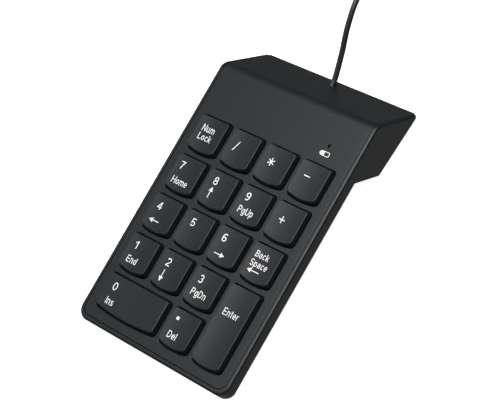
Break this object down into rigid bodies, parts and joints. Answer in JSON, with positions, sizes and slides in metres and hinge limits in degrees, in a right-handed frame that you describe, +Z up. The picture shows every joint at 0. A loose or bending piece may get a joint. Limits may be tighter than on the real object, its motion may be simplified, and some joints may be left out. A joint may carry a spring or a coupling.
{
  "type": "numeric keypad",
  "caption": "Wired desktop numeric keypad: sloping slab of sculpted plunger keys on a wedge-shaped rear, with a USB lead and plug.",
  "frame": {"origin": "middle of the rear rubber foot's sole, on the desk surface", "axes": "+X to the typist's right, +Y away from the typist along the keypad, +Z up; the desk is z = 0"},
  "size_m": [0.1578, 0.219, 0.0241],
  "materials": {
    "case_plastic": "matte charcoal ABS with a fine moulded grain",
    "key_plastic": "satin charcoal ABS keycaps with white printed legends",
    "inner_plastic": "plain black moulded plastic",
    "silicone": "translucent milky silicone rubber",
    "film": "clear polyester film with printed traces",
    "steel": "bare zinc-plated steel",
    "board": "green solder mask",
    "chip": "black epoxy package",
    "clear": "clear moulded light guide",
    "rubber": "matte black anti-slip rubber",
    "cable_jacket": "smooth black PVC jacket with a soft sheen",
    "plug_steel": "bright nickel-plated stamped shell",
    "lead_red": "PVC lead insulation",
    "lead_white": "PVC lead insulation",
    "lead_green": "PVC lead insulation",
    "lead_black": "PVC lead insulation"
  },
  "bodies": {
    "root": {"bottom_cover": "case_plastic", "top_cover": "case_plastic", "key_frame": "inner_plastic", "dome_sheet": "silicone", "membrane_top": "film", "membrane_spacer": "film", "membrane_bottom": "film", "support_plate": "steel", "controller_board": "board", "controller_chip": "chip", "status_led": "clear", "light_pipe": "clear", "tail_clamp": "inner_plastic", "cable_clamp": "inner_plastic", "case_screw_front_left": "steel", "case_screw_front_right": "steel", "case_screw_middle_left": "steel", "case_screw_middle_right": "steel", "case_screw_rear_left": "steel", "case_screw_rear_right": "steel", "board_screw_left": "steel", "board_screw_right": "steel", "tail_screw_left": "steel", "tail_screw_right": "steel", "cable_clamp_screw": "steel", "rear_foot": "rubber", "front_foot_left": "rubber", "front_foot_right": "rubber", "cable": "cable_jacket", "lead_1": "lead_red", "lead_2": "lead_white", "lead_3": "lead_green", "lead_4": "lead_black", "plug_grip": "inner_plastic", "plug_shell": "plug_steel", "plug_tongue": "inner_plastic"},
    "key_num_lock": {"key_num_lock": "key_plastic"},
    "key_divide": {"key_divide": "key_plastic"},
    "key_multiply": {"key_multiply": "key_plastic"},
    "key_minus": {"key_minus": "key_plastic"},
    "key_7": {"key_7": "key_plastic"},
    "key_8": {"key_8": "key_plastic"},
    "key_9": {"key_9": "key_plastic"},
    "key_plus": {"key_plus": "key_plastic"},
    "key_4": {"key_4": "key_plastic"},
    "key_5": {"key_5": "key_plastic"},
    "key_6": {"key_6": "key_plastic"},
    "key_backspace": {"key_backspace": "key_plastic"},
    "key_1": {"key_1": "key_plastic"},
    "key_2": {"key_2": "key_plastic"},
    "key_3": {"key_3": "key_plastic"},
    "key_enter": {"key_enter": "key_plastic"},
    "key_0": {"key_0": "key_plastic"},
    "key_decimal": {"key_decimal": "key_plastic"},
    "key_0_wire": {"key_0_wire": "steel"},
    "key_enter_wire": {"key_enter_wire": "steel"}
  },
  "joints": [
    {"name": "key_num_lock_press", "type": "slide", "parent": "root", "child": "key_num_lock", "axis": [0, -0.1045, 0.9945], "range_m": [-0.0018, 0], "stiffness_N_per_m": 60, "deforming": ["dome_sheet"]},
    {"name": "key_divide_press", "type": "slide", "parent": "root", "child": "key_divide", "axis": [0, -0.1045, 0.9945], "range_m": [-0.0018, 0], "stiffness_N_per_m": 60, "deforming": ["dome_sheet"]},
    {"name": "key_multiply_press", "type": "slide", "parent": "root", "child": "key_multiply", "axis": [0, -0.1045, 0.9945], "range_m": [-0.0018, 0], "stiffness_N_per_m": 60, "deforming": ["dome_sheet"]},
    {"name": "key_minus_press", "type": "slide", "parent": "root", "child": "key_minus", "axis": [0, -0.1045, 0.9945], "range_m": [-0.0018, 0], "stiffness_N_per_m": 60, "deforming": ["dome_sheet"]},
    {"name": "key_7_press", "type": "slide", "parent": "root", "child": "key_7", "axis": [0, -0.1045, 0.9945], "range_m": [-0.0018, 0], "stiffness_N_per_m": 60, "deforming": ["dome_sheet"]},
    {"name": "key_8_press", "type": "slide", "parent": "root", "child": "key_8", "axis": [0, -0.1045, 0.9945], "range_m": [-0.0018, 0], "stiffness_N_per_m": 60, "deforming": ["dome_sheet"]},
    {"name": "key_9_press", "type": "slide", "parent": "root", "child": "key_9", "axis": [0, -0.1045, 0.9945], "range_m": [-0.0018, 0], "stiffness_N_per_m": 60, "deforming": ["dome_sheet"]},
    {"name": "key_plus_press", "type": "slide", "parent": "root", "child": "key_plus", "axis": [0, -0.1045, 0.9945], "range_m": [-0.0018, 0], "stiffness_N_per_m": 60, "deforming": ["dome_sheet"]},
    {"name": "key_4_press", "type": "slide", "parent": "root", "child": "key_4", "axis": [0, -0.1045, 0.9945], "range_m": [-0.0018, 0], "stiffness_N_per_m": 60, "deforming": ["dome_sheet"]},
    {"name": "key_5_press", "type": "slide", "parent": "root", "child": "key_5", "axis": [0, -0.1045, 0.9945], "range_m": [-0.0018, 0], "stiffness_N_per_m": 60, "deforming": ["dome_sheet"]},
    {"name": "key_6_press", "type": "slide", "parent": "root", "child": "key_6", "axis": [0, -0.1045, 0.9945], "range_m": [-0.0018, 0], "stiffness_N_per_m": 60, "deforming": ["dome_sheet"]},
    {"name": "key_backspace_press", "type": "slide", "parent": "root", "child": "key_backspace", "axis": [0, -0.1045, 0.9945], "range_m": [-0.0018, 0], "stiffness_N_per_m": 60, "deforming": ["dome_sheet"]},
    {"name": "key_1_press", "type": "slide", "parent": "root", "child": "key_1", "axis": [0, -0.1045, 0.9945], "range_m": [-0.0018, 0], "stiffness_N_per_m": 60, "deforming": ["dome_sheet"]},
    {"name": "key_2_press", "type": "slide", "parent": "root", "child": "key_2", "axis": [0, -0.1045, 0.9945], "range_m": [-0.0018, 0], "stiffness_N_per_m": 60, "deforming": ["dome_sheet"]},
    {"name": "key_3_press", "type": "slide", "parent": "root", "child": "key_3", "axis": [0, -0.1045, 0.9945], "range_m": [-0.0018, 0], "stiffness_N_per_m": 60, "deforming": ["dome_sheet"]},
    {"name": "key_enter_press", "type": "slide", "parent": "root", "child": "key_enter", "axis": [0, -0.1045, 0.9945], "range_m": [-0.0018, 0], "stiffness_N_per_m": 60, "deforming": ["dome_sheet"]},
    {"name": "key_0_press", "type": "slide", "parent": "root", "child": "key_0", "axis": [0, -0.1045, 0.9945], "range_m": [-0.0018, 0], "stiffness_N_per_m": 60, "deforming": ["dome_sheet"]},
    {"name": "key_decimal_press", "type": "slide", "parent": "root", "child": "key_decimal", "axis": [0, -0.1045, 0.9945], "range_m": [-0.0018, 0], "stiffness_N_per_m": 60, "deforming": ["dome_sheet"]},
    {"name": "key_0_wire_swing", "type": "hinge", "parent": "root", "child": "key_0_wire", "pos_m": [-0.019, -0.11613, 0.00713], "axis": [1, 0, 0], "range_deg": [-18.4, 0]},
    {"name": "key_enter_wire_swing", "type": "hinge", "parent": "root", "child": "key_enter_wire", "pos_m": [0.0291, -0.10608, 0.00818], "axis": [0, 0.9945, 0.1045], "range_deg": [-18.4, 0]}
  ],
  "couplings": [
    {"joint": "key_0_wire_swing", "follows": "key_0_press", "rad_per_m": 175.67},
    {"joint": "key_enter_wire_swing", "follows": "key_enter_press", "rad_per_m": 175.67}
  ]
}
